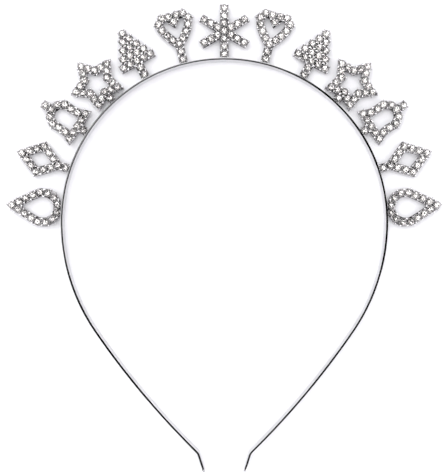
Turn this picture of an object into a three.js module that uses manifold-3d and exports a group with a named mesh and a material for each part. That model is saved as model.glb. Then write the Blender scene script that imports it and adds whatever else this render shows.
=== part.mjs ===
// A rhinestone tiara. A springy steel strip, bent to the outline of a head, carries thirteen cast ornaments.
// Each ornament is a flat open figure set with a row of round cut stones, and stands outwards from the strip,
// soldered by its foot to the strip's outer face.
// The tiara lies as it does on a table: the strip stands on its edge, X runs from ear to ear, Y points to the
// crown, and the stones face up along Z. Lengths are in millimetres and angles in degrees.
import * as THREE from "three";
import { mergeVertices } from "three/addons/utils/BufferGeometryUtils.js";
import Module from "manifold-3d";

const wasm = await Module();
wasm.setup();

// Headband: radii are those of the strip's middle line, from the crown down to a tip
const STRIP_WIDTH = 5;
const STRIP_THICKNESS = 0.8;
const STRIP_CHAMFER = 0.15;
const CROWN_RADIUS = 61.1;
const CROWN_ANGLE = 90;
const CHEEK_RADIUS = 72.8;
const CHEEK_ANGLE = 34.5;
const LEG_RADIUS = 310;
const LEG_ANGLE = 10.9;
const BEND_RADIUS = 4;
const BEND_ANGLE = 28;
const TIP_LENGTH = 6.5;
const TIP_ROUNDING = 1.2;

// Ornaments
const ORNAMENT_HEIGHT = 20.3;
const ORNAMENT_WIDTH = 13.4;
const ORNAMENT_STEP = 14.25; // round the crown, from one ornament to the next
const SOLDER_GAP = 0.3;
const PLATE_THICKNESS = 1.3;
const RIM_WIDTH = 0.3;

// Stones and the prongs that hold them
const STONE_DIAMETER = 2.7;
const STONE_GAP = 0.2;
const STONE_RISE = 0.95;
const TABLE_DIAMETER = 1.6;
const PRONG_WIDTH = 0.85;
const PRONG_RISE = 0.8;
const PRONG_INSET = 0.06; // from a plate's edge to the prong beside it

// How finely curves are cut into flats
const FACET_ANGLE = 6;
const TIP_FACETS = 4;
const STONE_SIDES = 8;
const PRONG_SIDES = 3;

const rowWidth = STONE_DIAMETER + 2 * RIM_WIDTH;
const stoneCell = STONE_DIAMETER + STONE_GAP;
const seatDistance = STRIP_THICKNESS / 2 + SOLDER_GAP;
const plateHeight = (STRIP_WIDTH - PLATE_THICKNESS - STONE_RISE) / 2;
const MITRE_LIMIT = 1.5;
const SUNK = 0.2; // how far stones and prongs reach into the plate that they are fused to
const CLOSEST_STONES = 0.97; // stones nearer than this share of their diameter would sit on one another

const STEEL = new THREE.MeshStandardMaterial({ color: 0xc9c9cc, roughness: 0.16, metalness: 1 });
const SET_STONES = new THREE.MeshStandardMaterial({ color: 0xdcdde2, roughness: 0.12, metalness: 0.9 });

// Figures of the ornaments. A point is [across, up], as shares of the ornament's width and height, and up is
// measured from the seat on the strip.
// bars: straight rows of stones. Where a bar has a join, its metal also reaches that point, in line with it
// arms: bars that leave a centre evenly, the first straight up, and join there; from and to are shares of the
// height
// loop: a closed row, travelled anticlockwise, in runs from corner to corner. A leg's rise is how far its arc
// stands from its chord, as a share of the height, outwards if positive
// star: a closed row round a pointed star; outer and inner are shares of the height
const FIGURES = {
  snowflake: {
    bars: [{ from: [0, -0.04], to: [0, 0.429] }],
    arms: [{ centre: 0.5, count: 6, from: 0.071, to: 0.5 }],
  },
  heart: {
    bars: [{ from: [0, -0.04], to: [0, 0.29], join: [0, 0.357] }],
    loop: [
      [
        { to: [0.44, 0.771], rise: 0.03 },
        { to: [0, 0.79], rise: 0.138 },
      ],
      [
        { to: [-0.44, 0.771], rise: 0.138 },
        { to: [0, 0.357], rise: 0.03 },
      ],
    ],
  },
  fir: {
    bars: [
      { from: [0, -0.04], to: [0, 0.286], join: [0, 0.357] },
      { from: [-0.541, 0.357], to: [0.541, 0.357] },
      { from: [-0.433, 0.5], to: [0.433, 0.5] },
      { from: [-0.325, 0.643], to: [0.325, 0.643] },
      { from: [-0.216, 0.786], to: [0.216, 0.786] },
      { from: [0, 0.857], to: [0, 1] },
    ],
  },
  star: {
    bars: [{ from: [0, -0.04], to: [0, 0.17], join: [0, 0.241] }],
    star: { centre: 0.468, points: 5, outer: 0.409, inner: 0.227 },
  },
  bell: {
    bars: [
      { from: [0, -0.04], to: [0, 0.143], join: [0, 0.214] },
      { from: [0, 0.857], to: [0, 1], join: [0, 0.785] },
    ],
    loop: [
      [{ to: [0.418, 0.214] }],
      [
        { to: [0.291, 0.453], rise: -0.015 },
        { to: [-0.291, 0.453], rise: 0.332 },
        { to: [-0.418, 0.214], rise: -0.015 },
      ],
    ],
  },
  lozenge: {
    bars: [{ from: [0, -0.04], to: [0, 0.143], join: [0, 0.214] }],
    loop: [
      [{ to: [0.379, 0.571] }],
      [{ to: [0, 0.929] }],
      [{ to: [-0.379, 0.571] }],
      [{ to: [0, 0.214] }],
    ],
  },
  drop: {
    loop: [
      [
        { to: [-0.364, 0.493] },
        { to: [0.364, 0.493], rise: 0.426 },
        { to: [0, 0.919] },
      ],
    ],
  },
};

// The figures from the crown outwards. The first stands alone, and each other has a copy on either side.
const ORDER = ["snowflake", "heart", "fir", "star", "bell", "lozenge", "drop"];

const radians = THREE.MathUtils.degToRad;

// Solids and meshes

function solidOf(geometry) {
  const bare = new THREE.BufferGeometry();
  bare.setAttribute("position", geometry.getAttribute("position"));
  if (geometry.index) bare.setIndex(geometry.index);
  const merged = mergeVertices(bare, 1e-5);
  return new wasm.Manifold(
    new wasm.Mesh({
      numProp: 3,
      vertProperties: merged.attributes.position.array,
      triVerts: new Uint32Array(merged.index.array),
    }),
  );
}

function geometryOf(solid) {
  const { vertProperties, triVerts } = solid.getMesh();
  const shared = new THREE.BufferGeometry();
  shared.setAttribute("position", new THREE.BufferAttribute(vertProperties, 3));
  shared.setIndex(new THREE.BufferAttribute(triVerts, 1));
  const flat = shared.toNonIndexed();
  flat.computeVertexNormals();
  return flat;
}

function joined(solids) {
  return solids.reduce((sum, solid) => sum.add(solid));
}

// Headband

// The middle line from the crown to a tip. Each leg has its length and its curvature, positive where it turns
// inwards.
const arcLeg = (radius, angle) => ({ length: radius * radians(angle), curvature: 1 / radius, angle });
const HALF_LINE = [
  arcLeg(CROWN_RADIUS, CROWN_ANGLE),
  arcLeg(CHEEK_RADIUS, CHEEK_ANGLE),
  arcLeg(LEG_RADIUS, LEG_ANGLE),
  { ...arcLeg(BEND_RADIUS, BEND_ANGLE), curvature: -1 / BEND_RADIUS },
  { length: TIP_LENGTH, curvature: 0, angle: 0 },
];

// Where a walk along the middle line from the crown ends, to the right if the distance is positive, and how
// far the line has turned by then.
function walk(distance) {
  const side = distance < 0 ? -1 : 1;
  let left = Math.abs(distance);
  let [x, y, heading] = [0, 0, 0];
  for (const { length, curvature } of HALF_LINE) {
    const step = Math.min(left, length);
    const next = heading + step * curvature;
    x += curvature ? (Math.sin(next) - Math.sin(heading)) / curvature : step * Math.cos(heading);
    y += curvature ? (Math.cos(next) - Math.cos(heading)) / curvature : -step * Math.sin(heading);
    heading = next;
    left -= step;
  }
  const outward = new THREE.Vector2(side * Math.sin(heading), Math.cos(heading));
  return { point: new THREE.Vector2(side * x, y), outward, turned: side * heading };
}

// Distances from the crown to each flat's end, down one half of the strip.
function halfStations() {
  const stations = [0];
  let start = 0;
  for (const { length, angle } of HALF_LINE) {
    const flats = Math.max(1, Math.ceil(angle / FACET_ANGLE));
    for (let i = 1; i <= flats; i++) stations.push(start + (length * i) / flats);
    start += length;
  }
  return stations;
}

// The strip's outline seen from above, with both faces moved out by a clearance.
function stripOutline(clearance) {
  const half = halfStations();
  const stations = [...half.slice(1).reverse().map((distance) => -distance), ...half].map(walk);
  const offset = STRIP_THICKNESS / 2 + clearance;
  const outer = stations.map(({ point, outward }) => point.clone().addScaledVector(outward, offset));
  const inner = stations.map(({ point, outward }) => point.clone().addScaledVector(outward, -offset));
  return new THREE.Shape([...inner, ...outer.reverse()]);
}

// Everything that an ornament's foot has to stay out of: the strip and the solder gap round it.
function stripKeepOut() {
  const tall = new THREE.ExtrudeGeometry(stripOutline(SOLDER_GAP), {
    depth: 3 * STRIP_WIDTH,
    bevelEnabled: false,
  });
  return solidOf(tall.translate(0, 0, -STRIP_WIDTH));
}

// A block as long and broad as the band, whose edges at the tips' end are rounded as seen from the side.
function tipRounding(lowest, highest, halfBreadth) {
  const profile = new THREE.Shape();
  profile.moveTo(highest, 0);
  profile.lineTo(highest, STRIP_WIDTH);
  profile.lineTo(lowest + TIP_ROUNDING, STRIP_WIDTH);
  profile.absarc(lowest + TIP_ROUNDING, STRIP_WIDTH - TIP_ROUNDING, TIP_ROUNDING, Math.PI / 2, Math.PI);
  profile.absarc(lowest + TIP_ROUNDING, TIP_ROUNDING, TIP_ROUNDING, Math.PI, 1.5 * Math.PI);
  const block = new THREE.ExtrudeGeometry(profile, {
    depth: 2 * halfBreadth,
    bevelEnabled: false,
    curveSegments: TIP_FACETS,
  });
  // The profile was drawn along Y and Z, so its own x and y turn to Y and Z, and its depth to X.
  block.applyMatrix4(new THREE.Matrix4().set(0, 0, 1, -halfBreadth, 1, 0, 0, 0, 0, 1, 0, 0, 0, 0, 0, 1));
  return solidOf(block);
}

function headband() {
  const strip = new THREE.ExtrudeGeometry(stripOutline(0), {
    depth: STRIP_WIDTH - 2 * STRIP_CHAMFER,
    bevelEnabled: true,
    bevelSegments: 1,
    bevelSize: STRIP_CHAMFER,
    bevelOffset: -STRIP_CHAMFER,
    bevelThickness: STRIP_CHAMFER,
  }).translate(0, 0, STRIP_CHAMFER);
  strip.computeBoundingBox();
  const { min, max } = strip.boundingBox;
  const solid = solidOf(strip).intersect(tipRounding(min.y, max.y + STRIP_WIDTH, max.x + STRIP_WIDTH));
  const mesh = new THREE.Mesh(geometryOf(solid), STEEL);
  mesh.name = "headband";
  return mesh;
}

// Rows of stones

const scaled = ([across, up]) => new THREE.Vector2(across * ORNAMENT_WIDTH, up * ORNAMENT_HEIGHT);

function barBetween(from, to, join = from) {
  return { from, to, join, along: to.clone().sub(from).normalize() };
}

// The point at a reach and a turn from the middle of the ornament at some height. The reach is a share of the
// height, and the turn a share of a whole turn, from straight up.
function around(centre, reach, turn) {
  const angle = Math.PI / 2 + 2 * Math.PI * turn;
  const direction = new THREE.Vector2(Math.cos(angle), Math.sin(angle));
  return scaled([0, centre]).addScaledVector(direction, reach * ORNAMENT_HEIGHT);
}

function figureBars({ bars = [], arms = [] }) {
  const straight = bars.map(({ from, to, join = from }) =>
    barBetween(scaled(from), scaled(to), scaled(join)),
  );
  const spokes = arms.flatMap(({ centre, count, from, to }) =>
    Array.from({ length: count }, (_, i) =>
      barBetween(around(centre, from, i / count), around(centre, to, i / count), scaled([0, centre])),
    ),
  );
  return [...straight, ...spokes];
}

// The centres of the stones in a bar, one in each equal cell above the seat.
function barStones({ from, to }) {
  const start = from.y < 0 ? from.clone().lerp(to, from.y / (from.y - to.y)) : from;
  const cells = Math.max(1, Math.round(start.distanceTo(to) / stoneCell));
  return Array.from({ length: cells }, (_, i) => start.clone().lerp(to, (i + 0.5) / cells));
}

// A leg of a loop as a line, or as an arc given by its rise.
function legCurve(from, to, rise) {
  if (!rise) return new THREE.LineCurve(from, to);
  const half = from.distanceTo(to) / 2;
  const radius = (half * half + rise * rise) / (2 * Math.abs(rise));
  const chord = to.clone().sub(from).normalize();
  const outward = new THREE.Vector2(chord.y, -chord.x).multiplyScalar(Math.sign(rise));
  const centre = from
    .clone()
    .lerp(to, 0.5)
    .addScaledVector(outward, Math.abs(rise) - radius);
  const angleTo = (point) => Math.atan2(point.y - centre.y, point.x - centre.x);
  return new THREE.EllipseCurve(centre.x, centre.y, radius, radius, angleTo(from), angleTo(to), rise < 0);
}

// The centres of the stones along a run, with one at its start and none at its end.
function runStones(path) {
  const cells = Math.max(1, Math.round(path.getLength() / stoneCell));
  return Array.from({ length: cells }, (_, i) => path.getPointAt(i / cells));
}

// The centres of the stones round a star, with one at each corner.
function starStones({ centre, points, outer, inner }) {
  const corners = Array.from({ length: 2 * points }, (_, i) =>
    around(centre, i % 2 ? inner : outer, i / (2 * points)),
  );
  return corners.flatMap((corner, i) => {
    const next = corners[(i + 1) % corners.length];
    return runStones(new THREE.LineCurve(corner, next));
  });
}

// The centres of the stones round a loop, with one at each corner.
function loopStones(loop) {
  const lastRun = loop[loop.length - 1];
  let from = scaled(lastRun[lastRun.length - 1].to);
  return loop.flatMap((run) => {
    const path = new THREE.CurvePath();
    for (const { to, rise = 0 } of run) {
      path.add(legCurve(from, scaled(to), rise * ORNAMENT_HEIGHT));
      from = scaled(to);
    }
    return runStones(path);
  });
}

// The closed row of a figure, if it has one.
function figureRing({ loop, star }) {
  if (loop) return loopStones(loop);
  return star ? starStones(star) : [];
}

// Plates under the rows

// The corner of a row's edge at one of its points, between the points before and after it.
function mitredEdge(before, point, after, offset) {
  const into = point.clone().sub(before).normalize();
  const out = after.clone().sub(point).normalize();
  const across = new THREE.Vector2(into.y + out.y, -into.x - out.x).normalize();
  const cosine = across.x * into.y - across.y * into.x;
  return point.clone().addScaledVector(across, offset * Math.min(MITRE_LIMIT, 1 / cosine));
}

function extrudedPlate(shape) {
  return solidOf(new THREE.ExtrudeGeometry(shape, { depth: PLATE_THICKNESS, bevelEnabled: false }));
}

function barPlate({ from, to, join, along }) {
  const across = new THREE.Vector2(along.y, -along.x).multiplyScalar(rowWidth / 2);
  const [start, , end] = [from, to, join].sort((a, b) => a.dot(along) - b.dot(along));
  const right = [start.clone().add(across), end.clone().add(across)];
  const left = [end.clone().sub(across), start.clone().sub(across)];
  return extrudedPlate(new THREE.Shape([...right, ...left]));
}

function loopPlate(points) {
  const edge = (offset) =>
    points.map((point, i) => {
      const before = points[(i + points.length - 1) % points.length];
      return mitredEdge(before, point, points[(i + 1) % points.length], offset);
    });
  const shape = new THREE.Shape(edge(rowWidth / 2));
  shape.holes.push(new THREE.Path(edge(-rowWidth / 2)));
  return extrudedPlate(shape);
}

// Stones and prongs

// A tapered post that stands on the plate, sunk into it, with its given width at the plate's top.
function post(point, width, topWidth, rise, sides) {
  const taper = (width - topWidth) / rise;
  const body = new THREE.CylinderGeometry(topWidth / 2, (width + taper * SUNK) / 2, rise + SUNK, sides);
  body.rotateX(Math.PI / 2).rotateZ(Math.PI / sides);
  return solidOf(body.translate(point.x, point.y, PLATE_THICKNESS + (rise - SUNK) / 2));
}

// Stones in the order given, without any that would sit on one already placed.
function withoutCrowding(points, closest) {
  return points.reduce(
    (kept, point) => (kept.some((other) => other.distanceTo(point) < closest) ? kept : [...kept, point]),
    [],
  );
}

// A row's prongs stand in pairs on its edges, in the corners between neighbouring stones.
function prongsBetween(a, b) {
  const along = b.clone().sub(a).normalize();
  const across = new THREE.Vector2(along.y, -along.x);
  const reach = (rowWidth - PRONG_WIDTH) / 2 - PRONG_INSET;
  const middle = a.clone().lerp(b, 0.5);
  return [-reach, reach].map((offset) => middle.clone().addScaledVector(across, offset));
}

function barProngs(stones, { along }) {
  const step = stones.length > 1 ? stones[0].distanceTo(stones[1]) : stoneCell;
  const beyond = stones[stones.length - 1].clone().addScaledVector(along, step - PRONG_WIDTH);
  const before = stones[0].clone().addScaledVector(along, PRONG_WIDTH - step);
  const chain = [before, ...stones, beyond];
  return chain.slice(1).flatMap((stone, i) => prongsBetween(chain[i], stone));
}

function loopProngs(stones) {
  return stones.flatMap((stone, i) => prongsBetween(stone, stones[(i + 1) % stones.length]));
}

// A prong stays only where it stands on the metal and clear of every stone.
function freeProngs(prongs, stones) {
  const clear = (STONE_DIAMETER + PRONG_WIDTH) / 2 - RIM_WIDTH / 2;
  const free = prongs.filter(
    (prong) => prong.y > PRONG_WIDTH && stones.every((stone) => stone.distanceTo(prong) > clear),
  );
  return withoutCrowding(free, PRONG_WIDTH);
}

// Ornaments

function ornamentSolid(figure) {
  const bars = figureBars(figure);
  const barRows = bars.map(barStones);
  const hub = (figure.arms ?? []).map(({ centre }) => scaled([0, centre]));
  const ring = figureRing(figure);
  const stones = withoutCrowding([...hub, ...ring, ...barRows.flat()], STONE_DIAMETER * CLOSEST_STONES);
  const prongs = freeProngs(
    [...(ring.length ? loopProngs(ring) : []), ...bars.flatMap((bar, i) => barProngs(barRows[i], bar))],
    stones,
  );
  return joined([
    ...(ring.length ? [loopPlate(ring)] : []),
    ...bars.map(barPlate),
    ...stones.map((stone) => post(stone, STONE_DIAMETER, TABLE_DIAMETER, STONE_RISE, STONE_SIDES)),
    ...prongs.map((prong) => post(prong, PRONG_WIDTH, 0, PRONG_RISE, PRONG_SIDES)),
  ]);
}

// An ornament that stands on the strip this far along it from the crown, its foot cut to the strip's face.
function ornament(name, figure, distance, keepOut) {
  const { point, outward, turned } = walk(distance);
  const mesh = new THREE.Mesh(undefined, SET_STONES);
  mesh.name = name;
  mesh.position.set(point.x + outward.x * seatDistance, point.y + outward.y * seatDistance, plateHeight);
  mesh.rotation.z = -turned;
  mesh.updateMatrix();
  const localKeepOut = keepOut.transform(mesh.matrix.clone().invert().toArray());
  mesh.geometry = geometryOf(ornamentSolid(figure).subtract(localKeepOut));
  return mesh;
}

function ornaments() {
  const keepOut = stripKeepOut();
  return ORDER.flatMap((kind, place) => {
    const distance = place * radians(ORNAMENT_STEP) * CROWN_RADIUS;
    if (!place) return [ornament(kind, FIGURES[kind], distance, keepOut)];
    return [
      ornament(`${kind}_left`, FIGURES[kind], -distance, keepOut),
      ornament(`${kind}_right`, FIGURES[kind], distance, keepOut),
    ];
  });
}

const tiara = new THREE.Group();
tiara.add(headband(), ...ornaments());

// The origin is under the middle of the tiara's box, on the table.
const box = new THREE.Box3().setFromObject(tiara);
const middle = box.getCenter(new THREE.Vector3());
tiara.position.set(-middle.x, -middle.y, -box.min.z);

export default tiara;
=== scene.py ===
"""A rhinestone tiara: a plated steel strip that carries thirteen cast ornaments set with foil-backed stones.

The strip, the castings and the stones are modelled finely here, each where its solid is.
Lengths are in metres.
"""

import math
import random

import bmesh
import bpy
from mathutils import Euler, Matrix, Vector


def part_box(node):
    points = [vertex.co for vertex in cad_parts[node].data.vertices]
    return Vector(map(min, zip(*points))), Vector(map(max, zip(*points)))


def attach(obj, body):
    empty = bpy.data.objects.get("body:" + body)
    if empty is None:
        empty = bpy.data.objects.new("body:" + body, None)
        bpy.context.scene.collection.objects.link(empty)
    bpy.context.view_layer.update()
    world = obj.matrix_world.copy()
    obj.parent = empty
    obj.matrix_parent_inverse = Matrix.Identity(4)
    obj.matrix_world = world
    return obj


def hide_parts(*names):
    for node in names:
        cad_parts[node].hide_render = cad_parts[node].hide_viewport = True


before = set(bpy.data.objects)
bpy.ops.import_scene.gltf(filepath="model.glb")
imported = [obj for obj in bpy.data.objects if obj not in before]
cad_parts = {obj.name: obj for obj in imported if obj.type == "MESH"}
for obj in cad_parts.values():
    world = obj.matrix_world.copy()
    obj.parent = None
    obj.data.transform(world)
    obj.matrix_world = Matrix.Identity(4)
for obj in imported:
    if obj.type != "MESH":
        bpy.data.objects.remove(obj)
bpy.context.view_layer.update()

MM = 0.001

# The photo's frame, and where the middle of the crown's arc is in it
PHOTO_WIDTH = 445
PHOTO_HEIGHT = 473
PIXEL = 0.375 * MM
CROWN_MIDDLE_PX = (224.3, 221.5)
CAMERA_RISE = 320 * MM
SENSOR = 36

# Lights, in metres and watts, aimed at the origin. They light the floor, and the world alone is mirrored.
LIGHT_SIZE = 0.9
LIGHTS = [
    {"name": "key", "place": (-0.3, 0.3, 0.85), "power": 4.8},
    {"name": "fill", "place": (0.5, -0.2, 0.8), "power": 2.2},
]

# The world. Levels and tints are linear.
PANEL_LIGHT = 3.3
PANEL_DARK = 0.0
PANEL_CELLS = 7
PANEL_LIT_SHARE = 0.47
PANEL_EDGE = 0.05
ROOM_TINT = (0.88, 0.87, 0.91, 1)
CEILING_STARTS = 0.88  # the direction's height where the ceiling begins to show
CEILING_FULL = 0.93
CEILING_DARK = 0.0
CEILING_LIGHT = 0.5
CEILING_LIGHT_SIDE = (-0.6, 0.8, 0)
CEILING_LIGHT_STARTS = 0.1  # how far towards its light side the ceiling begins to brighten
CEILING_LIGHT_FULL = 0.2

FLOOR_RADIUS = 9
FLOOR_SIDES = 96
FLOOR_COLOUR = (0.93, 0.93, 0.94, 1)

# The strip's middle line, from the crown down to a tip, as on its solid
STRIP_WIDTH = 5 * MM
STRIP_THICKNESS = 0.8 * MM
CROWN_RADIUS = 61.1 * MM
CROWN_ANGLE = math.radians(90)
CHEEK_RADIUS = 72.8 * MM
CHEEK_ANGLE = math.radians(34.5)
LEG_RADIUS = 310 * MM
LEG_ANGLE = math.radians(10.9)
BEND_RADIUS = 4 * MM
BEND_ANGLE = math.radians(28)
TIP_LENGTH = 6.5 * MM
TIP_ROUNDING = 1.2 * MM
EDGE_ROUNDING = 0.04 * MM
EDGE_STEPS = 3
FLAT_ANGLE = math.radians(2)  # cross-sections are no further apart than this in a bend
FLAT_LENGTH = 2 * MM  # and no further apart than this anywhere
TIP_STEPS = 8

# Materials. Colours are linear, scales are features for each metre, and most noise lies between these limits.
NOISE_LOW = 0.3
NOISE_HIGH = 0.7

HAIRLINE_STRETCH = (60, 9000, 1)  # features for each metre along and across the strip
HAIRLINE_ROUGHNESS = (0.0, 0.03)
HAIRLINE_BUMP = {"Strength": 0.05, "Distance": 0.02 * MM}
SMUDGE_SCALE = 90
SMUDGE_LIMITS = (0.35, 0.7)
SMUDGE_ROUGHNESS = (0.01, 0.04)
STRIP_SMUDGED = (0.56, 0.555, 0.57, 1)
STRIP_CLEAN = (0.68, 0.675, 0.69, 1)

# The casting's colour by height: painted shade low down between the cups, painted light on the raised claws
# and rims
CAST_PAINTED_SHADE = (0.3, 0.29, 0.3, 1)
CAST_PAINTED_LIGHT = (0.95, 0.94, 0.95, 1)
CAST_LIGHT_HEIGHTS = (2.3 * MM, 3.35 * MM)  # hollow below the first, raised above the second
CAST_ROUGHNESS = (0.12, 0.06)
GRAIN_SCALE = 2600
GRAIN_ROUGHNESS = (0.04, 0.14)
GRAIN_BUMP = {"Strength": 0.35, "Distance": 0.04 * MM}
STAIN_SCALE = 420
STAIN_LIMITS = (0.3, 0.6)
STAIN_SHARE = 0.6  # what a stain leaves of the brightness

GLASS_IOR = 1.56
GLASS_TINT = (1, 0.99, 0.99, 1)
HAZE_SCALE = 700
HAZE_LIMITS = (0.45, 0.75)
HAZE_ROUGHNESS = 0.05

FOIL_SCALE = 500
FOIL_LIMITS = (0.35, 0.65)
FOIL_DULL = (0.86, 0.84, 0.84, 1)
FOIL_BRIGHT = (0.97, 0.96, 0.95, 1)
FOIL_ROUGHNESS = (0.02, 0.07)

# Stones: a brilliant cut with an eight-sided table
STONE_RADIUS = 1.35 * MM
TABLE_RADIUS = 0.8 * MM
STAR_RADIUS = 1.08 * MM
CROWN_HEIGHT = 0.52 * MM
GIRDLE_HEIGHT = 0.06 * MM
PAVILION_DEPTH = 0.98 * MM
CULET_RADIUS = 0.4 * MM
STONE_TILT = math.radians(3)
TABLE_EDGE = 0.72 * MM  # two corners of one table lie closer than this, corners of two tables don't
FACETS = 8
TABLE_CORNERS = 6  # a group of corners on a solid is a table if it has at least this many

# Castings: a base plate, a cup under each stone, and claws over its edge
PLATE_THICKNESS = 0.65 * MM
PLATE_BEVEL = 0.14 * MM
CUP_RADIUS = 1.5 * MM
CUP_SIDES = 20
CLAW_SIDES = 6
CLAW_REACH = 1.92 * MM
CLAW_RADIUS = 0.3 * MM
CLAW_ANGLES = [math.radians(45 + 90 * k) for k in range(4)]
CLAW_SWING = 0.06  # the most that a claw is turned aside, in radians
CLAW_SIZES = (0.88, 1.08)
NEIGHBOUR = 3.6 * MM  # stones closer than this are in one row
CROWDED = 1.45 * MM  # a claw stands at least this far from every other stone's middle
SEAT_LEVEL = 0.8  # how far up the base plate the cups begin, as a share of its thickness
RIM_LEVEL = 0.5  # how far under the stone's edge the cup ends, as a share of the girdle's height
WELD = 0.001 * MM  # the solids' corners closer than this are one
LEVEL = 0.01 * MM  # heights closer than this are the same
PLACES = 6  # places of a corner are rounded to a micrometre

# Edges whose faces meet at a greater angle than this stay sharp
STRIP_SMOOTH = math.radians(40)
CAST_SMOOTH = math.radians(35)
SOLDER_SMOOTH = math.radians(180)

# Solder where a casting meets the strip
SOLDER_SIZE = (1.25 * MM, 0.42 * MM, 0.62 * MM)
SOLDER_LUMP = 0.12  # how uneven a drop is, as a share of its size
SOLDER_WAVES = 3
SOLDER_DETAIL = 3
SOLDER_SEAT = 0.15 * MM  # from the strip's outer face to the drop's middle
SOLDER_RISE = 0.65 * MM

SEED = 14

strip_low, strip_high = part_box("headband")
crown_middle = Vector((0, strip_high.y - strip_high.x, 0))
ornament_names = sorted(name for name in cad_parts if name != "headband")


# Camera, lights, world and floor


def add_camera():
    data = bpy.data.cameras.new("camera")
    data.sensor_width = SENSOR
    data.lens = SENSOR * CAMERA_RISE / (PHOTO_HEIGHT * PIXEL)
    camera = bpy.data.objects.new("camera", data)
    across = (PHOTO_WIDTH / 2 - CROWN_MIDDLE_PX[0]) * PIXEL
    up = (CROWN_MIDDLE_PX[1] - PHOTO_HEIGHT / 2) * PIXEL
    camera.location = (across, crown_middle.y + up, strip_high.z + CAMERA_RISE)
    bpy.context.scene.collection.objects.link(camera)
    bpy.context.scene.camera = camera


def add_softbox(name, place, power):
    data = bpy.data.lights.new(name, "AREA")
    data.shape = "SQUARE"
    data.size = LIGHT_SIZE
    data.energy = power
    light = bpy.data.objects.new(name, data)
    light.location = place
    light.visible_glossy = False
    light.visible_transmission = False
    light.rotation_euler = (-Vector(place)).to_track_quat("-Z", "Y").to_euler()
    bpy.context.scene.collection.objects.link(light)


MIX_INPUTS = (0, 6, 7)  # a colour mix's factor and its two colours
MIX_RESULT = 2


class Nodes:
    """Makes nodes in a tree. A node's input is given as a value or as the output to link it to."""

    def __init__(self, tree):
        self.tree = tree
        tree.nodes.clear()

    def put(self, socket, value):
        if isinstance(value, bpy.types.NodeSocket):
            self.tree.links.new(value, socket)
        else:
            socket.default_value = value

    def add(self, kind, inputs=None, **settings):
        node = self.tree.nodes.new(kind)
        for key, value in settings.items():
            setattr(node, key, value)
        for key, value in (inputs or {}).items():
            self.put(node.inputs[key], value)
        return node

    def maths(self, operation, first, second):
        return self.add("ShaderNodeMath", {0: first, 1: second}, operation=operation).outputs[0]

    def span(self, value, low, high, to_low, to_high):
        """value from low to high, mapped to to_low to to_high and kept between them."""
        inputs = {"Value": value, "From Min": low, "From Max": high, "To Min": to_low, "To Max": to_high}
        return self.add("ShaderNodeMapRange", inputs, clamp=True).outputs["Result"]

    def noise(self, place, scale, detail):
        inputs = {"Vector": place, "Scale": scale, "Detail": detail}
        return self.add("ShaderNodeTexNoise", inputs).outputs[0]

    def blend(self, factor, first, second):
        node = self.add("ShaderNodeMix", data_type="RGBA")
        for index, value in zip(MIX_INPUTS, (factor, first, second)):
            self.put(node.inputs[index], value)
        return node.outputs[MIX_RESULT]


def add_world():
    """A pale room. The metal and stones mirror bright panels with dark gaps and a ceiling lit on one side."""
    world = bpy.data.worlds.new("studio")
    world.use_nodes = True
    bpy.context.scene.world = world
    nodes = Nodes(world.node_tree)
    direction = nodes.add("ShaderNodeTexCoord").outputs["Generated"]
    cells = nodes.add("ShaderNodeTexVoronoi", {"Vector": direction, "Scale": PANEL_CELLS}, feature="F1")
    shade = nodes.add("ShaderNodeSeparateColor", {"Color": cells.outputs["Color"]}).outputs[0]
    lit = 1 - PANEL_LIT_SHARE
    panels = nodes.span(shade, lit - PANEL_EDGE, lit, PANEL_DARK, PANEL_LIGHT)
    upwards = nodes.add("ShaderNodeSeparateXYZ", {"Vector": direction}).outputs[2]
    overhead = nodes.span(upwards, CEILING_STARTS, CEILING_FULL, 0, 1)
    dot = nodes.add("ShaderNodeVectorMath", {0: direction, 1: CEILING_LIGHT_SIDE}, operation="DOT_PRODUCT")
    sideways = dot.outputs["Value"]
    ceiling = nodes.span(sideways, CEILING_LIGHT_STARTS, CEILING_LIGHT_FULL, CEILING_DARK, CEILING_LIGHT)
    room = nodes.blend(overhead, panels, ceiling)
    seen = nodes.add("ShaderNodeLightPath").outputs
    mirrored = nodes.maths("MAXIMUM", seen["Is Glossy Ray"], seen["Is Transmission Ray"])
    colour = nodes.blend(mirrored, ROOM_TINT, room)
    background = nodes.add("ShaderNodeBackground", {"Color": colour, "Strength": 1})
    nodes.add("ShaderNodeOutputWorld", {"Surface": background.outputs[0]})


def add_floor():
    bm = bmesh.new()
    bmesh.ops.create_circle(bm, cap_ends=True, segments=FLOOR_SIDES, radius=FLOOR_RADIUS)
    floor = mesh_object("floor", bm)
    material = bpy.data.materials.new("floor_paper")
    material.use_nodes = True
    nodes = Nodes(material.node_tree)
    shader = nodes.add("ShaderNodeBsdfDiffuse", {"Color": FLOOR_COLOUR})
    nodes.add("ShaderNodeOutputMaterial", {"Surface": shader.outputs[0]})
    floor.data.materials.append(material)


# Materials


def principled(name, **values):
    """A new material, its nodes and its Principled shader with these values set on its sockets."""
    material = bpy.data.materials.new(name)
    material.use_nodes = True
    nodes = Nodes(material.node_tree)
    shader = nodes.add("ShaderNodeBsdfPrincipled")
    for key, value in values.items():
        shader.inputs[key.replace("_", " ")].default_value = value
    nodes.add("ShaderNodeOutputMaterial", {"Surface": shader.outputs[0]})
    return material, nodes, shader


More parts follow.
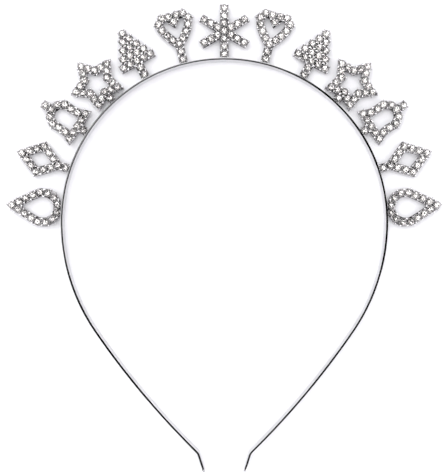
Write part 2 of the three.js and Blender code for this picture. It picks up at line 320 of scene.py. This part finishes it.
def plated_strip():
    """Bright nickel plate with rubbed hairlines along the strip and a slight unevenness."""
    material, nodes, shader = principled("plated_strip", Metallic=1.0)
    link = nodes.tree.links.new
    along = nodes.add("ShaderNodeTexCoord").outputs["UV"]
    drawn = nodes.add("ShaderNodeMapping", {"Vector": along, "Scale": HAIRLINE_STRETCH}).outputs[0]
    hairlines = nodes.noise(drawn, 1, 4)
    place = nodes.add("ShaderNodeTexCoord").outputs["Object"]
    smudges = nodes.noise(place, SMUDGE_SCALE, 3)
    tone = nodes.span(smudges, *SMUDGE_LIMITS, 0, 1)
    link(nodes.blend(tone, STRIP_SMUDGED, STRIP_CLEAN), shader.inputs["Base Color"])
    rubbed = nodes.span(hairlines, NOISE_LOW, NOISE_HIGH, *HAIRLINE_ROUGHNESS)
    smudged = nodes.span(smudges, NOISE_LOW, NOISE_HIGH, *SMUDGE_ROUGHNESS)
    link(nodes.maths("ADD", rubbed, smudged), shader.inputs["Roughness"])
    bump = nodes.add("ShaderNodeBump", {"Height": hairlines, **HAIRLINE_BUMP})
    link(bump.outputs[0], shader.inputs["Normal"])
    return material


def cast_setting():
    """Bright plated casting, grainy from the mould, with painted shade down between the cups and painted
    light on the raised claws and rims.
    """
    material, nodes, shader = principled("cast_setting", Metallic=1.0)
    link = nodes.tree.links.new
    place = nodes.add("ShaderNodeTexCoord").outputs["Object"]
    height = nodes.add("ShaderNodeSeparateXYZ", {"Vector": place}).outputs[2]
    raised = nodes.span(height, *CAST_LIGHT_HEIGHTS, 0, 1)
    grain = nodes.noise(place, GRAIN_SCALE, 3)
    stains = nodes.noise(place, STAIN_SCALE, 2)
    # Painted shade and painted light by height, darkened at random by stains
    painted_light_and_stains = nodes.maths("MULTIPLY", raised, nodes.span(stains, *STAIN_LIMITS, STAIN_SHARE, 1))
    link(nodes.blend(painted_light_and_stains, CAST_PAINTED_SHADE, CAST_PAINTED_LIGHT), shader.inputs["Base Color"])
    worn = nodes.span(raised, 0, 1, *CAST_ROUGHNESS)
    grainy = nodes.span(grain, NOISE_LOW, NOISE_HIGH, *GRAIN_ROUGHNESS)
    link(nodes.maths("ADD", worn, grainy), shader.inputs["Roughness"])
    bump = nodes.add("ShaderNodeBump", {"Height": grain, **GRAIN_BUMP})
    link(bump.outputs[0], shader.inputs["Normal"])
    return material


def stone_glass():
    """Clear lead glass with the faint haze of handling on its facets."""
    clear = {"IOR": GLASS_IOR, "Transmission_Weight": 1.0, "Base_Color": GLASS_TINT}
    material, nodes, shader = principled("stone_glass", **clear)
    place = nodes.add("ShaderNodeTexCoord").outputs["Object"]
    haze = nodes.noise(place, HAZE_SCALE, 2)
    nodes.tree.links.new(nodes.span(haze, *HAZE_LIMITS, 0, HAZE_ROUGHNESS), shader.inputs["Roughness"])
    return material


def stone_foil():
    """The mirror foil behind a stone, a little uneven."""
    material, nodes, shader = principled("stone_foil", Metallic=1.0)
    place = nodes.add("ShaderNodeTexCoord").outputs["Object"]
    cloud = nodes.noise(place, FOIL_SCALE, 2)
    colour = nodes.blend(nodes.span(cloud, *FOIL_LIMITS, 0, 1), FOIL_DULL, FOIL_BRIGHT)
    nodes.tree.links.new(colour, shader.inputs["Base Color"])
    rough = nodes.span(cloud, NOISE_LOW, NOISE_HIGH, *FOIL_ROUGHNESS)
    nodes.tree.links.new(rough, shader.inputs["Roughness"])
    return material


# Pieces


def mesh_object(name, bm):
    mesh = bpy.data.meshes.new(name)
    bm.normal_update()
    bm.to_mesh(mesh)
    bm.free()
    piece = bpy.data.objects.new(name, mesh)
    bpy.context.scene.collection.objects.link(piece)
    return piece


def finish_piece(name, bm, materials, node, smooth_below=None):
    piece = mesh_object(name, bm)
    for material in materials:
        piece.data.materials.append(material)
    if smooth_below:
        piece.data.shade_smooth()
        piece.data.set_sharp_from_angle(angle=smooth_below)
    if node:
        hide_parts(node)
    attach(piece, "root")


def skin(bm, rings):
    """Quads between rings of points, and a face over each end. Returns the rows of vertices."""
    rows = [[bm.verts.new(point) for point in ring] for ring in rings]
    for lower, upper in zip(rows, rows[1:]):
        for k in range(len(lower)):
            after = (k + 1) % len(lower)
            bm.faces.new((lower[k], lower[after], upper[after], upper[k]))
    bm.faces.new(list(reversed(rows[0])))
    bm.faces.new(rows[-1])
    return rows


# Strip


def half_line():
    """Each leg of the middle line as (length, curvature), from the crown to a tip."""
    arcs = [
        (CROWN_RADIUS, CROWN_ANGLE, 1),
        (CHEEK_RADIUS, CHEEK_ANGLE, 1),
        (LEG_RADIUS, LEG_ANGLE, 1),
        (BEND_RADIUS, BEND_ANGLE, -1),
    ]
    return [(radius * angle, side / radius) for radius, angle, side in arcs] + [(TIP_LENGTH, 0)]


def walk(distance):
    """The point of the middle line this far from the crown, right if positive, and the way out from there."""
    side = -1 if distance < 0 else 1
    left = abs(distance)
    x, y, heading = 0, strip_high.y - STRIP_THICKNESS / 2, 0
    for length, curvature in half_line():
        step = min(left, length)
        after = heading + step * curvature
        if curvature:
            x += (math.sin(after) - math.sin(heading)) / curvature
            y += (math.cos(after) - math.cos(heading)) / curvature
        else:
            x += step * math.cos(heading)
            y -= step * math.sin(heading)
        heading = after
        left -= step
    return Vector((side * x, y, 0)), Vector((side * math.sin(heading), math.cos(heading), 0))


def half_stations():
    """Distances from the crown to each cross-section of one half, closest where the strip bends or ends."""
    stations = [0]
    start = 0
    for length, curvature in half_line():
        straight = length - (0 if curvature else TIP_ROUNDING)
        steps = math.ceil(max(straight * abs(curvature) / FLAT_ANGLE, straight / FLAT_LENGTH))
        stations += [start + straight * i / steps for i in range(1, steps + 1)]
        start += length
    turns = [math.pi / 2 * i / TIP_STEPS for i in range(1, TIP_STEPS + 1)]
    return stations + [start - TIP_ROUNDING * (1 - math.sin(turn)) for turn in turns]


def strip_section(distance, end):
    """The cross-section this far from the crown: a rectangle with rounded edges, lower towards the tip."""
    middle, outward = walk(distance)
    into_tip = max(0, TIP_ROUNDING - (end - abs(distance)))
    lost = TIP_ROUNDING - math.sqrt(max(0, TIP_ROUNDING**2 - into_tip**2))
    half = (STRIP_THICKNESS / 2 - EDGE_ROUNDING, STRIP_WIDTH / 2 - lost - EDGE_ROUNDING)
    ring = []
    for corner in range(4):
        across = half[0] * (1 if corner in (0, 3) else -1)
        rise = half[1] * (1 if corner in (0, 1) else -1)
        for step in range(EDGE_STEPS + 1):
            turn = math.pi / 2 * (corner + step / EDGE_STEPS)
            offset = outward * (across + EDGE_ROUNDING * math.cos(turn))
            height = STRIP_WIDTH / 2 + rise + EDGE_ROUNDING * math.sin(turn)
            ring.append(middle + offset + Vector((0, 0, height)))
    return ring


def add_strip(material):
    half = half_stations()
    stations = [-distance for distance in reversed(half[1:])] + half
    bm = bmesh.new()
    rows = skin(bm, [strip_section(distance, half[-1]) for distance in stations])
    uv = bm.loops.layers.uv.new("along")
    place = {}
    for distance, row in zip(stations, rows):
        for k, vert in enumerate(row):
            place[vert] = (distance, k * STRIP_WIDTH / len(row))
    for face in bm.faces:
        for loop in face.loops:
            loop[uv].uv = place[loop.vert]
    bmesh.ops.recalc_face_normals(bm, faces=bm.faces)
    finish_piece("strip", bm, [material], "headband", STRIP_SMOOTH)


# Stones


def stone_centres(node):
    """The middle of each stone's table on the node's solid."""
    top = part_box(node)[1].z
    corners = {
        (round(vert.co.x, PLACES), round(vert.co.y, PLACES))
        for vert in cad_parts[node].data.vertices
        if vert.co.z > top - LEVEL
    }
    left = sorted(corners)
    centres = []
    while left:
        table = [left.pop()]
        for corner in table:
            near = [other for other in left if math.dist(corner, other) < TABLE_EDGE]
            left = [other for other in left if other not in near]
            table += near
        if len(table) >= TABLE_CORNERS:
            centres.append(Vector((sum(p[0] for p in table), sum(p[1] for p in table), 0)) / len(table))
    return centres


def ring_point(radius, turn, height):
    """A point round a stone's axis; turn counts sixteenths of a circle."""
    angle = turn * math.pi / FACETS
    return Vector((radius * math.cos(angle), radius * math.sin(angle), height))


def brilliant():
    """The points and faces of one stone. The girdle's upper edge is at height 0. Faces name their points."""
    half_facet = math.cos(math.pi / FACETS)
    slope = CROWN_HEIGHT / (STONE_RADIUS - TABLE_RADIUS)
    star_height = CROWN_HEIGHT - (STAR_RADIUS * half_facet - TABLE_RADIUS) * slope
    culet_share = CULET_RADIUS * half_facet / STONE_RADIUS
    culet_height = -PAVILION_DEPTH + culet_share * (PAVILION_DEPTH - GIRDLE_HEIGHT)
    points = {("culet", 0): Vector((0, 0, -PAVILION_DEPTH))}
    for k in range(FACETS):
        points["table", k] = ring_point(TABLE_RADIUS, 2 * k, CROWN_HEIGHT)
        points["star", k] = ring_point(STAR_RADIUS, 2 * k + 1, star_height)
        points["low", k] = ring_point(CULET_RADIUS, 2 * k + 1, culet_height)
    for j in range(2 * FACETS):
        points["girdle", j] = ring_point(STONE_RADIUS, j, 0)
        points["under", j] = ring_point(STONE_RADIUS, j, -GIRDLE_HEIGHT)
    crown = [[("table", k) for k in range(FACETS)]]
    pavilion = []
    for k in range(FACETS):
        before, after = (k - 1) % FACETS, (k + 1) % FACETS
        edge, middle, end = 2 * k, 2 * k + 1, (2 * k + 2) % (2 * FACETS)
        crown.append([("table", k), ("star", k), ("table", after)])
        crown.append([("table", k), ("star", before), ("girdle", edge), ("star", k)])
        crown.append([("star", k), ("girdle", edge), ("girdle", middle)])
        crown.append([("star", k), ("girdle", middle), ("girdle", end)])
        crown.append([("girdle", edge), ("under", edge), ("under", middle), ("girdle", middle)])
        crown.append([("girdle", middle), ("under", middle), ("under", end), ("girdle", end)])
        pavilion.append([("under", edge), ("low", before), ("culet", 0), ("low", k)])
        pavilion.append([("low", k), ("under", middle), ("under", edge)])
        pavilion.append([("low", k), ("under", end), ("under", middle)])
    return points, crown, pavilion


def add_stones(node, centres, cut, glass, foil, chance):
    points, crown, pavilion = cut
    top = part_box(node)[1].z
    bm = bmesh.new()
    for centre in centres:
        tilt = Euler((chance.uniform(-STONE_TILT, STONE_TILT), chance.uniform(-STONE_TILT, STONE_TILT), 0))
        turn = Matrix.Rotation(chance.uniform(0, math.pi), 4, "Z")
        girdle = centre + Vector((0, 0, top - CROWN_HEIGHT))
        place = Matrix.Translation(girdle) @ tilt.to_matrix().to_4x4() @ turn
        verts = {key: bm.verts.new(place @ point) for key, point in points.items()}
        for index, faces in enumerate((crown, pavilion)):
            for face in faces:
                bm.faces.new([verts[key] for key in face]).material_index = index
    bmesh.ops.recalc_face_normals(bm, faces=bm.faces)
    finish_piece(f"{node}_stones", bm, [glass, foil], None)


# Castings


def base_plate(bm, node):
    """The casting's base, with the outline of the solid's underside and eased edges."""
    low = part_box(node)[0].z
    plate = bmesh.new()
    plate.from_mesh(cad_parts[node].data)
    bmesh.ops.remove_doubles(plate, verts=plate.verts, dist=WELD)
    above = [face for face in plate.faces if any(vert.co.z > low + LEVEL for vert in face.verts)]
    bmesh.ops.delete(plate, geom=above, context="FACES")
    underside = plate.faces[:]
    raised = bmesh.ops.extrude_face_region(plate, geom=underside, use_keep_orig=True)["geom"]
    lifted = [part for part in raised if isinstance(part, bmesh.types.BMVert)]
    bmesh.ops.translate(plate, verts=lifted, vec=(0, 0, PLATE_THICKNESS))
    bmesh.ops.recalc_face_normals(plate, faces=plate.faces)
    topside = [part for part in raised if isinstance(part, bmesh.types.BMFace)]
    for region, inwards in ((topside, -1), (underside, 1)):
        rim = {vert for face in region for vert in face.verts}
        bmesh.ops.inset_region(plate, faces=region, thickness=PLATE_BEVEL, use_boundary=True)
        rim -= {vert for face in region for vert in face.verts}
        bmesh.ops.translate(plate, verts=list(rim), vec=(0, 0, inwards * PLATE_BEVEL))
    mesh = bpy.data.meshes.new("plate")
    plate.to_mesh(mesh)
    plate.free()
    bm.from_mesh(mesh)
    bpy.data.meshes.remove(mesh)


# A cup from the middle of its underside, up its outside and down its seat: its radius, and its height as a
# share of the way from its floor to its rim, less how far it lies under that
CUP_PROFILE = [
    {"radius": 0.5 * CUP_RADIUS, "share": 0, "under": 0},
    {"radius": 0.93 * CUP_RADIUS, "share": 0, "under": 0},
    {"radius": CUP_RADIUS, "share": 0.6, "under": 0},
    {"radius": 0.98 * CUP_RADIUS, "share": 1, "under": 0.08 * MM},
    {"radius": 0.93 * CUP_RADIUS, "share": 1, "under": 0},
    {"radius": STONE_RADIUS, "share": 1, "under": 0.03 * MM},
    {"radius": 0.2 * STONE_RADIUS, "share": 1, "under": 0.9 * PAVILION_DEPTH},
]


def add_cup(bm, centre, floor, rim):
    turns = [2 * math.pi * k / CUP_SIDES for k in range(CUP_SIDES)]
    rings = []
    for row in CUP_PROFILE:
        radius = row["radius"]
        height = floor + row["share"] * (rim - floor) - row["under"]
        rings.append([centre + Vector((radius * math.cos(t), radius * math.sin(t), height)) for t in turns])
    skin(bm, rings)


# A claw from its root to its tip: its distance from the stone's middle, as a share of its reach, its height
# above the girdle, as a share of the crown's height, and its radius, as a share of the root's
CLAW_PROFILE = [
    {"out": 1.0, "rise": -1.7, "thick": 1.0},
    {"out": 1.0, "rise": -0.2, "thick": 0.95},
    {"out": 0.92, "rise": 0.45, "thick": 0.85},
    {"out": 0.78, "rise": 0.75, "thick": 0.7},
    {"out": 0.64, "rise": 0.8, "thick": 0.45},
    {"out": 0.58, "rise": 0.75, "thick": 0.2},
]


def add_claw(bm, centre, direction, girdle, size):
    """A claw that stands beside a stone and bends over its edge."""
    side = Vector((-direction.y, direction.x, 0))
    spine = [
        centre + direction * (row["out"] * CLAW_REACH) + Vector((0, 0, girdle + row["rise"] * CROWN_HEIGHT))
        for row in CLAW_PROFILE
    ]
    rings = []
    for k, row in enumerate(CLAW_PROFILE):
        along = (spine[min(k + 1, len(spine) - 1)] - spine[max(k - 1, 0)]).normalized()
        across = side.cross(along)
        radius = row["thick"] * CLAW_RADIUS * size
        turns = [2 * math.pi * j / CLAW_SIDES for j in range(CLAW_SIDES)]
        rings.append([spine[k] + radius * (side * math.cos(t) + across * math.sin(t)) for t in turns])
    skin(bm, rings)


def row_direction(centre, centres):
    """The way the row runs at a stone: towards its nearest neighbour, or outwards if it has none."""
    near = [other - centre for other in centres if 0 < (other - centre).length < NEIGHBOUR]
    away = centre - crown_middle
    return (min(near, key=lambda gap: gap.length) if near else away).normalized()


def add_setting(node, centres, material, chance):
    low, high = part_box(node)
    girdle = high.z - CROWN_HEIGHT
    floor = low.z + SEAT_LEVEL * PLATE_THICKNESS
    rim = girdle - RIM_LEVEL * GIRDLE_HEIGHT
    bm = bmesh.new()
    base_plate(bm, node)
    for centre in centres:
        add_cup(bm, centre, floor, rim)
        heading = row_direction(centre, centres)
        for angle in CLAW_ANGLES:
            direction = Matrix.Rotation(angle + chance.uniform(-CLAW_SWING, CLAW_SWING), 3, "Z") @ heading
            foot = centre + direction * CLAW_REACH
            if all((other - foot).length > CROWDED for other in centres):
                add_claw(bm, centre, direction, girdle, chance.uniform(*CLAW_SIZES))
    bmesh.ops.recalc_face_normals(bm, faces=bm.faces)
    finish_piece(f"{node}_setting", bm, [material], node, CAST_SMOOTH)


def add_solder(node, centres, material, chance):
    """A drop of solder between an ornament's foot and the strip's outer face."""
    middle = sum(centres, Vector()) / len(centres)
    outward = (middle - crown_middle).normalized()
    along = Vector((outward.y, -outward.x, 0))
    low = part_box(node)[0].z
    seat = crown_middle + outward * (strip_high.x + SOLDER_SEAT) + Vector((0, 0, low + SOLDER_RISE))
    bm = bmesh.new()
    bmesh.ops.create_icosphere(bm, subdivisions=SOLDER_DETAIL, radius=1)
    phases = [chance.uniform(0, 2 * math.pi) for _ in range(3)]
    for vert in bm.verts:
        wave = sum(math.sin(SOLDER_WAVES * vert.co[k] + phases[k]) for k in range(3)) / 3
        x, y, z = vert.co * (1 + SOLDER_LUMP * wave)
        vert.co = seat + along * x * SOLDER_SIZE[0] + outward * y * SOLDER_SIZE[1]
        vert.co.z += z * SOLDER_SIZE[2]
    finish_piece(f"{node}_solder", bm, [material], None, SOLDER_SMOOTH)


add_camera()
add_world()
add_floor()
for softbox in LIGHTS:
    add_softbox(**softbox)

add_strip(plated_strip())
setting_metal = cast_setting()
clear_glass = stone_glass()
mirror_foil = stone_foil()
stone_cut = brilliant()
dice = random.Random(SEED)
for name in ornament_names:
    stone_places = stone_centres(name)
    add_setting(name, stone_places, setting_metal, dice)
    add_stones(name, stone_places, stone_cut, clear_glass, mirror_foil, dice)
    add_solder(name, stone_places, setting_metal, dice)

bpy.context.scene.view_settings.view_transform = "Standard"
